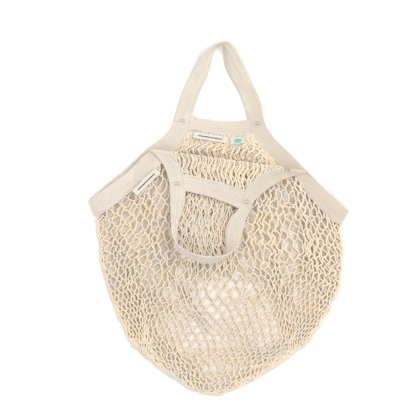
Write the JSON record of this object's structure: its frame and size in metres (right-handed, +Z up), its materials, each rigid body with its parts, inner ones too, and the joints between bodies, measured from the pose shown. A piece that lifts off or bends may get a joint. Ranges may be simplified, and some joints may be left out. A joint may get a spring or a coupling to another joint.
{
  "type": "mesh produce bag",
  "caption": "Cotton net produce bag with short tape handles, lying flat and empty with the front of its mouth folded down over the front.",
  "frame": {"origin": "middle of the footprint at floor level", "axes": "+Z up from the floor, +Y towards the mouth and the back handle, +X to the right seen from above"},
  "size_m": [0.3132, 0.4262, 0.0319],
  "materials": {
    "cotton_tape": "undyed knitted cotton tape, matt",
    "cotton_net": "undyed plied cotton yarn, matt",
    "cotton_thread": "undyed cotton sewing thread",
    "label_cloth": "cream woven cotton label",
    "tag_cloth": "white satin-woven tag"
  },
  "bodies": {
    "bag": {"net_back_panel": "cotton_net", "net_front_panel": "cotton_net", "net_edge_cord": "cotton_net", "back_mouth_band": "cotton_tape", "left_side_binding": "cotton_tape", "right_side_binding": "cotton_tape", "back_band_stitch": "cotton_thread", "left_binding_stitch": "cotton_thread", "right_binding_stitch": "cotton_thread", "back_left_tack": "cotton_thread", "back_right_tack": "cotton_thread"},
    "front_flap": {"net_front_flap": "cotton_net", "front_mouth_band": "cotton_tape", "front_left_shoulder": "cotton_tape", "front_right_shoulder": "cotton_tape", "front_band_stitch": "cotton_thread", "front_left_shoulder_stitch": "cotton_thread", "front_right_shoulder_stitch": "cotton_thread", "front_left_tack": "cotton_thread", "front_right_tack": "cotton_thread"},
    "front_handle": {"front_handle": "cotton_tape", "front_handle_stitch": "cotton_thread"},
    "back_handle": {"back_handle": "cotton_tape", "back_handle_stitch": "cotton_thread"},
    "woven_label": {"woven_label": "label_cloth"},
    "care_tag": {"care_tag": "tag_cloth"},
    "side_label": {"side_label": "label_cloth"}
  },
  "joints": [
    {"name": "front_flap_fold", "type": "hinge", "parent": "bag", "child": "front_flap", "pos_m": [0.0096, 0.0678, 0.012], "axis": [-0.9901, 0.1405, 0], "range_deg": [0, 165]},
    {"name": "front_handle_swing", "type": "hinge", "parent": "front_flap", "child": "front_handle", "pos_m": [-0.01125, 0.0215, 0.0143], "axis": [0.9569, -0.2906, 0], "range_deg": [-150, 0]},
    {"name": "back_handle_swing", "type": "hinge", "parent": "bag", "child": "back_handle", "pos_m": [0.00045, 0.1221, 0.00215], "axis": [-0.9992, 0.0394, 0], "range_deg": [-120, 0]},
    {"name": "woven_label_swing", "type": "hinge", "parent": "bag", "child": "woven_label", "pos_m": [-0.00985, 0.1002, 0.00275], "axis": [0.9861, -0.1664, 0], "range_deg": [-120, 0]},
    {"name": "care_tag_swing", "type": "hinge", "parent": "bag", "child": "care_tag", "pos_m": [0.0228, 0.0969, 0.00275], "axis": [0.9995, 0.0326, 0], "range_deg": [-120, 0]},
    {"name": "side_label_swing", "type": "hinge", "parent": "bag", "child": "side_label", "pos_m": [-0.0905, 0.045, 0.01305], "axis": [0.7348, 0.6783, 0], "range_deg": [-120, 0]}
  ]
}
